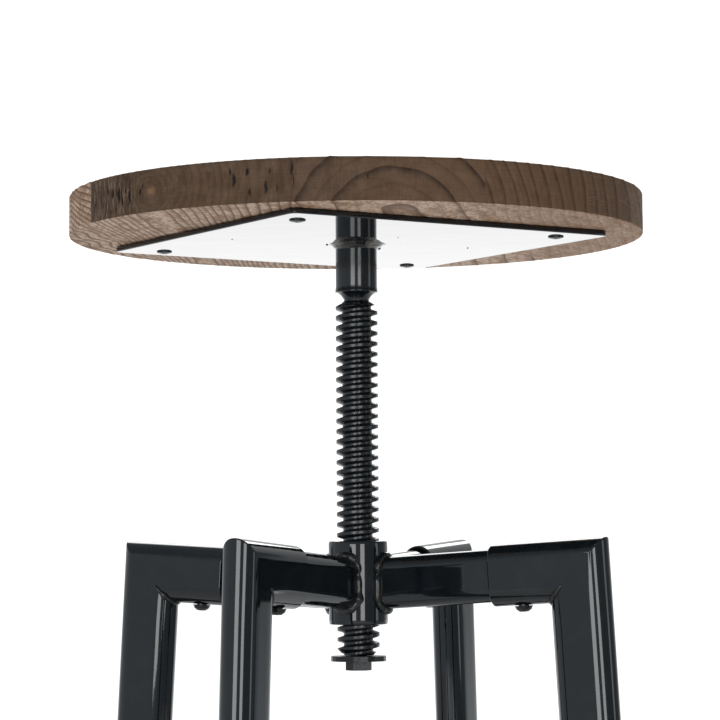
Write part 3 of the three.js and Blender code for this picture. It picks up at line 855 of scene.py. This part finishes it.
def dome(name, x, y, level, radius):
    """A flattened half ball hanging under a level."""
    sides, rows = 20, 6
    turn = np.linspace(0, 2 * math.pi, sides, endpoint=False)
    tilt = np.linspace(0, math.pi / 2, rows + 1)[:-1]
    r, a = np.meshgrid(radius * np.cos(tilt), turn, indexing="ij")
    z = level - np.repeat(radius * DOME_FLATNESS * np.sin(tilt)[:, None], sides, axis=1)
    verts = np.stack([x + r * np.cos(a), y + r * np.sin(a), z], axis=-1).reshape(-1, 3)
    verts = np.vstack([verts, [[x, y, level - radius * DOME_FLATNESS]]]) * MM
    faces = [face[::-1] for face in grid_faces(rows, sides)]
    last = (rows - 1) * sides
    faces += [[last + k, rows * sides, last + (k + 1) % sides] for k in range(sides)]
    faces.append(list(range(sides)))
    return mesh_object(name, verts, faces)


# ---- hub ----

# How much wider than the spindle the thread in the hub is cut, and the rounding of the hub's rims.
THREAD_PLAY = 0.6
HUB_EDGE = 1.0


def hub():
    """A round block with a threaded bore."""
    sides = 96
    rim = [(HUB_EDGE, 0), (HUB_EDGE * 0.3, HUB_EDGE * 0.3), (0, HUB_EDGE)]
    outer = [(HUB_RADIUS - inset, HUB_BOTTOM + rise) for inset, rise in rim]
    outer += [(HUB_RADIUS, z) for z in np.linspace(HUB_BOTTOM + 3, HUB_TOP - 3, 8)]
    outer += [(HUB_RADIUS - inset, HUB_TOP - drop) for inset, drop in rim[::-1]]
    turn = np.linspace(0, 2 * math.pi, sides, endpoint=False)
    rows = [(np.full(sides, radius), np.full(sides, height)) for radius, height in outer]
    for height in np.arange(HUB_TOP, HUB_BOTTOM - 0.1, -0.5):
        level = np.full(sides, height)
        bore = THREAD_MINOR / 2 + THREAD_PLAY + THREAD_DEPTH * thread_height(level, turn)
        mouth = THREAD_MAJOR / 2 + THREAD_PLAY - min(HUB_TOP - height, height - HUB_BOTTOM)
        rows.append((np.maximum(bore, mouth), level))
    radius = np.array([row[0] for row in rows])
    height = np.array([row[1] for row in rows])
    verts = np.stack([radius * np.cos(turn), radius * np.sin(turn), height], axis=-1).reshape(-1, 3) * MM
    obj = mesh_object("threaded_hub", verts, grid_faces(len(rows), sides, closed_rows=True))
    sharpen(obj, 40)
    finish_piece(obj, "base", "black_paint", PAINT, "hub")


# ---- arms and legs ----

POST_REACH = ARM_REACH - TUBE_DEPTH / 2
POST_BOTTOM = -(ARM_HEIGHT + POST_REACH * math.sin(LEG_TILT)) / math.cos(LEG_TILT)
GLIDE_HEIGHT = 6
TUBE_END = POST_BOTTOM + GLIDE_HEIGHT
# How far a stub reaches into the hub, the gap between a glide and the tube above it, and how far the
# glide's plug goes up into that tube.
STUB_SUNK = 0.6
GLIDE_GAP = 0.3
PLUG_HEIGHT = 18


def tube_rows(loop, stations):
    """Rings of an arm-and-leg tube: stations are ("arm", x), ("mitre", 0) or ("leg", z)."""
    rows = []
    for part, place in stations:
        if part == "arm":
            ring = [(place, y, z) for y, z in loop]
        elif part == "mitre":
            ring = [(POST_REACH + z, y, z) for y, z in loop]
        else:
            ring = [(POST_REACH + z, y, place) for y, z in loop]
        rows.append(ring)
    return rows


def leg_tube(number, turn):
    """Sleeve and leg as one welded L with an open upper end."""
    sections = [oval_loop(TUBE_WIDTH, TUBE_DEPTH), oval_loop(TUBE_WIDTH, TUBE_DEPTH, -TUBE_WALL)]
    arm = [("arm", x) for x in (SLEEVE_START, SLEEVE_START + 12, SLEEVE_START + 24)]
    leg = [("leg", z) for z in (-30, -60, -120, -180, -240, -300, TUBE_END + 20, TUBE_END)]
    stations = [*arm, ("mitre", 0), *leg]
    outside = tube_rows(sections[0], stations)
    inside = tube_rows(sections[1], stations[::-1])
    verts = np.array([*outside, *inside]).reshape(-1, 3) * MM
    faces = grid_faces(2 * len(stations), len(sections[0]), closed_rows=True)
    obj = mesh_object(f"leg_tube_{number}", verts, [face[::-1] for face in faces])
    bevel(obj, 0.7)
    sharpen(obj, 30)
    move_mesh(obj, quarter_frame(turn))
    nodes = (f"leg_sleeve_{number}", f"leg_post_{number}")
    finish_piece(obj, "base", "black_paint", PAINT, *nodes)


def hub_reach(y, z):
    """Where a point of an arm's section meets the hub's wall, in the arm's tilted frame."""
    horizontal = math.sqrt(HUB_RADIUS ** 2 - y ** 2)
    return (horizontal + z * math.sin(LEG_TILT)) / math.cos(LEG_TILT)


def stub_row(loop, share):
    """One ring of a stub: share is 0 at the hub and 1 at the end inside the sleeve."""
    starts = [hub_reach(y, z) - STUB_SUNK for y, z in loop]
    return [(start + share * (STUB_END - start), y, z) for start, (y, z) in zip(starts, loop)]


def stub_tube(number, turn):
    """A stub cut to the curve of the hub, open at its end."""
    shares = (0, 0.33, 0.66, 1)
    outer = oval_loop(STUB_WIDTH, STUB_DEPTH)
    inner = oval_loop(STUB_WIDTH, STUB_DEPTH, -STUB_WALL)
    rows = [stub_row(outer, share) for share in shares] + [stub_row(inner, share) for share in shares[::-1]]
    verts = np.array(rows).reshape(-1, 3) * MM
    faces = grid_faces(len(rows), len(outer), closed_rows=True)
    obj = mesh_object(f"stub_tube_{number}", verts, [face[::-1] for face in faces])
    bevel(obj, 0.4, 2)
    sharpen(obj, 30)
    move_mesh(obj, quarter_frame(turn))
    finish_piece(obj, "base", "black_paint", PAINT, f"stub_arm_{number}")


def in_place(turn, points):
    """Points of an arm's own frame, in millimetres, moved to where the arm stands."""
    arm_frame = quarter_frame(turn)
    return [tuple(arm_frame @ (Vector(point) * MM) / MM) for point in points]


def hub_weld(number, turn):
    """The bead round the stub where it meets the hub."""
    loop = oval_loop(STUB_WIDTH, STUB_DEPTH, 0.4, steps=26)
    path = in_place(turn, [(hub_reach(y, z) + 0.9, y, z) for y, z in loop])
    radii = np.full(len(path), 2.7)
    bead(f"hub_weld_{number}", path, radii, 10 + number, lumps=0.3, ripple=3.4)


def corner_weld(number, turn):
    """The bead in the inner corner where sleeve and leg meet."""
    loop = oval_loop(TUBE_WIDTH, TUBE_DEPTH, 0.1, steps=26)
    lower = [(y, z) for y, z in loop if z < -TUBE_DEPTH / 2 + 11]
    path = in_place(turn, [(POST_REACH + z, y, z) for y, z in lower])
    share = np.linspace(-1, 1, len(path))
    radii = 2.0 * np.sqrt(1 - 0.85 * share ** 2)
    bead(f"corner_weld_{number}", path, radii, 20 + number, lumps=0.4, ripple=2.2, closed=False)


def foot_glide(number, turn):
    """A plastic foot with a plug up into the tube. Its sole is level with the floor."""
    loop = oval_loop(TUBE_WIDTH, TUBE_DEPTH)
    plug = oval_loop(TUBE_WIDTH, TUBE_DEPTH, -TUBE_WALL - GLIDE_GAP)
    slope = math.tan(LEG_TILT)
    sole = [(POST_REACH + z, y, POST_BOTTOM - z * slope) for y, z in loop]
    shoulder, plug_end = ("leg", TUBE_END - GLIDE_GAP), ("leg", TUBE_END + PLUG_HEIGHT)
    rows = [sole, *tube_rows(loop, [shoulder]), *tube_rows(plug, [shoulder, plug_end])]
    count = len(loop)
    faces = grid_faces(len(rows), count)
    faces.append(list(range(count))[::-1])
    faces.append(list(range(3 * count, 4 * count)))
    obj = mesh_object(f"glide_{number}", np.array(rows).reshape(-1, 3) * MM, faces)
    bevel(obj, 0.5)
    sharpen(obj, 30)
    move_mesh(obj, quarter_frame(turn))
    finish_piece(obj, "base", "black_plastic", PLASTIC, f"foot_glide_{number}")


def foot_ring():
    """A round bar bent into a ring."""
    bar = (ring_high.z - ring_low.z) / 2 / MM
    reach = (ring_high.x - ring_low.x) / 2 / MM - bar
    level = (ring_high.z + ring_low.z) / 2 / MM
    turn = np.linspace(0, 2 * math.pi, 160, endpoint=False)
    round_bar = np.linspace(0, 2 * math.pi, 28, endpoint=False)
    t, b = np.meshgrid(turn, round_bar, indexing="ij")
    radius = reach + bar * np.cos(b)
    verts = np.stack([radius * np.cos(t), radius * np.sin(t), level + bar * np.sin(b)], axis=-1)
    faces = grid_faces(len(turn), len(round_bar), closed_rows=True)
    obj = mesh_object("ring_bar", verts.reshape(-1, 3) * MM, faces)
    finish_piece(obj, "base", "black_paint", PAINT, "foot_ring")


# How far the edges of bolts, nuts and the washer are rounded.
BOLT_EDGE = 0.35


def softened_copy(node, body):
    """A bolt, nut or washer: the CAD piece, which has the right shape, with its edges rounded off."""
    obj = frame["nodes"][node].copy()
    obj.data = frame["nodes"][node].data.copy()
    obj.name = f"{node}_rounded"
    obj.parent = None
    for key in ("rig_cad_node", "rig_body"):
        if key in obj:
            del obj[key]
    obj.data.materials.clear()
    bpy.context.scene.collection.objects.link(obj)
    bevel(obj, BOLT_EDGE, 2, 25)
    sharpen(obj, 30)
    finish_piece(obj, body, "black_screw", SCREW_BLACK, node)


def build_stool():
    seat()
    plate()
    spindle()
    plate_weld()
    spatter()
    hub()
    foot_ring()
    for number in range(1, 5):
        screw_head(number)
    softened_copy("stop_washer", "stop_washer")
    softened_copy("stop_bolt", "seat")
    for number, turn in QUARTERS:
        stub_tube(number, turn)
        leg_tube(number, turn)
        hub_weld(number, turn)
        corner_weld(number, turn)
        foot_glide(number, turn)
        for fastener in ("arm_bolt", "arm_nut", "ring_bolt", "ring_nut"):
            softened_copy(f"{fastener}_{number}", "base")


# ---- camera, lights and floor, in metres ----

CAMERA_AZIMUTH = math.radians(25.4)
CAMERA_DISTANCE = 1.5332
CAMERA_BELOW_SEAT = 0.184
CAMERA_PITCH = 0.0736
CAMERA_ASIDE = 0.0012
CAMERA_ROLL = math.radians(0.35)
CAMERA_LENS = 132.2

# How bright the surroundings are on each side, and where the camera sees them.
ROOM = {"behind": 1.75, "behind_and_above": 0.75, "left": 0.72, "right": 0.3, "overhead": 0.35,
        "background": 1.2}
FRONT_TINT = (0.86, 0.95, 1.0)
FLOOR_RADIUS = 2.0


def around(azimuth, distance, height):
    """A place round the stool: azimuth 0 is in front, on -Y, and grows towards +X."""
    return Vector((math.sin(azimuth) * distance, -math.cos(azimuth) * distance, height))


def make_camera():
    camera = bpy.data.objects.new("camera", bpy.data.cameras.new("camera"))
    bpy.context.scene.collection.objects.link(camera)
    camera.data.lens = CAMERA_LENS
    camera.data.sensor_width = 36
    place = around(CAMERA_AZIMUTH, CAMERA_DISTANCE, seat_low.z - CAMERA_BELOW_SEAT)
    heading = Matrix.Rotation(CAMERA_AZIMUTH - CAMERA_ASIDE, 4, "Z")
    lift = Matrix.Rotation(math.pi / 2 + CAMERA_PITCH, 4, "X")
    camera.matrix_world = Matrix.Translation(place) @ heading @ lift @ Matrix.Rotation(-CAMERA_ROLL, 4, "Z")
    bpy.context.scene.camera = camera


# The lights: degrees to the right of the camera, width and height, how far out, how high, how bright
# the face looks, and the point it is turned to.
LIGHTS = {
    "left_strip": (-20, 0.78, 0.75, 2.0, 0.52, 5.5, Vector((0, 0, 0.52))),
    "right_strip": (17, 0.56, 0.75, 2.0, 0.52, 5.5, Vector((0, 0, 0.52))),
    "side_strip": (78, 0.4, 0.75, 2.0, 0.52, 1.6, Vector((0, 0, 0.52))),
    "overhead_left": (-50, 1.0, 0.8, 1.0, 2.3, 2.0, Vector((0, 0, 0.4))),
    "floor_glow": (180, 1.6, 1.0, 1.7, 1.5, 4.0, around(CAMERA_AZIMUTH, -0.7, 0)),
}


def panel_light(name):
    """A rectangular light from the table, hidden from the camera itself."""
    degrees, width, height, distance, level, brightness, aim_at = LIGHTS[name]
    light = bpy.data.objects.new(name, bpy.data.lights.new(name, "AREA"))
    bpy.context.scene.collection.objects.link(light)
    light.data.shape = "RECTANGLE"
    light.data.size, light.data.size_y = width, height
    light.data.energy = brightness * math.pi * width * height
    light.location = around(CAMERA_AZIMUTH + math.radians(degrees), distance, level)
    light.rotation_euler = (aim_at - light.location).to_track_quat("-Z", "Y").to_euler()
    light.visible_camera = False


def soft_room():
    """White surroundings: bright behind the stool, dim in front, darkest to the right of the camera."""
    world = bpy.data.worlds.new("studio")
    bpy.context.scene.world = world
    world.use_nodes = True
    tree = world.node_tree
    background = tree.nodes["Background"]
    source = tree.nodes.new("ShaderNodeTexCoord")
    x, y, z = split(tree, source.outputs["Generated"])
    back = around(CAMERA_AZIMUTH, -1.0, 0)
    left = around(CAMERA_AZIMUTH - math.pi / 2, 1.0, 0)
    behind = x * back.x + y * back.y
    leftward = x * left.x + y * left.y
    front = ranged(leftward, -0.7, 0.7, ROOM["right"], ROOM["left"])
    high = ranged(z, 0.2, 0.6)
    room = front * (1 - high) + high * ROOM["overhead"]
    lit = ranged(behind, 0.5, 0.85)
    glow = room * (1 - lit) + lit * ranged(z, -0.08, 0.0, ROOM["behind"], ROOM["behind_and_above"])
    seen = Wire(tree, tree.nodes.new("ShaderNodeLightPath").outputs["Is Camera Ray"])
    shown = glow * (1 - seen) + seen * ROOM["background"]
    tree.links.new(shown.socket, background.inputs["Strength"])
    tint = blended(tree, capped(lit + seen), FRONT_TINT, (1.0, 1.0, 1.0))
    tree.links.new(tint, background.inputs["Color"])


def make_floor():
    sides = 96
    turn = [2 * math.pi * k / sides for k in range(sides)]
    verts = [(0, 0, 0)]
    verts += [(FLOOR_RADIUS * math.cos(angle), FLOOR_RADIUS * math.sin(angle), 0) for angle in turn]
    faces = [(0, 1 + k, 1 + (k + 1) % sides) for k in range(sides)]
    floor = mesh_object("studio_floor", verts, faces, smooth=False)
    material, _, shader = new_material("studio_paper")
    shader.inputs["Base Color"].default_value = (0.9, 0.9, 0.9, 1)
    shader.inputs["Roughness"].default_value = 0.8
    floor.data.materials.append(material)


def make_studio():
    bpy.context.scene.view_settings.view_transform = "Standard"
    make_camera()
    soft_room()
    make_floor()
    for name in LIGHTS:
        panel_light(name)


make_studio()
build_stool()
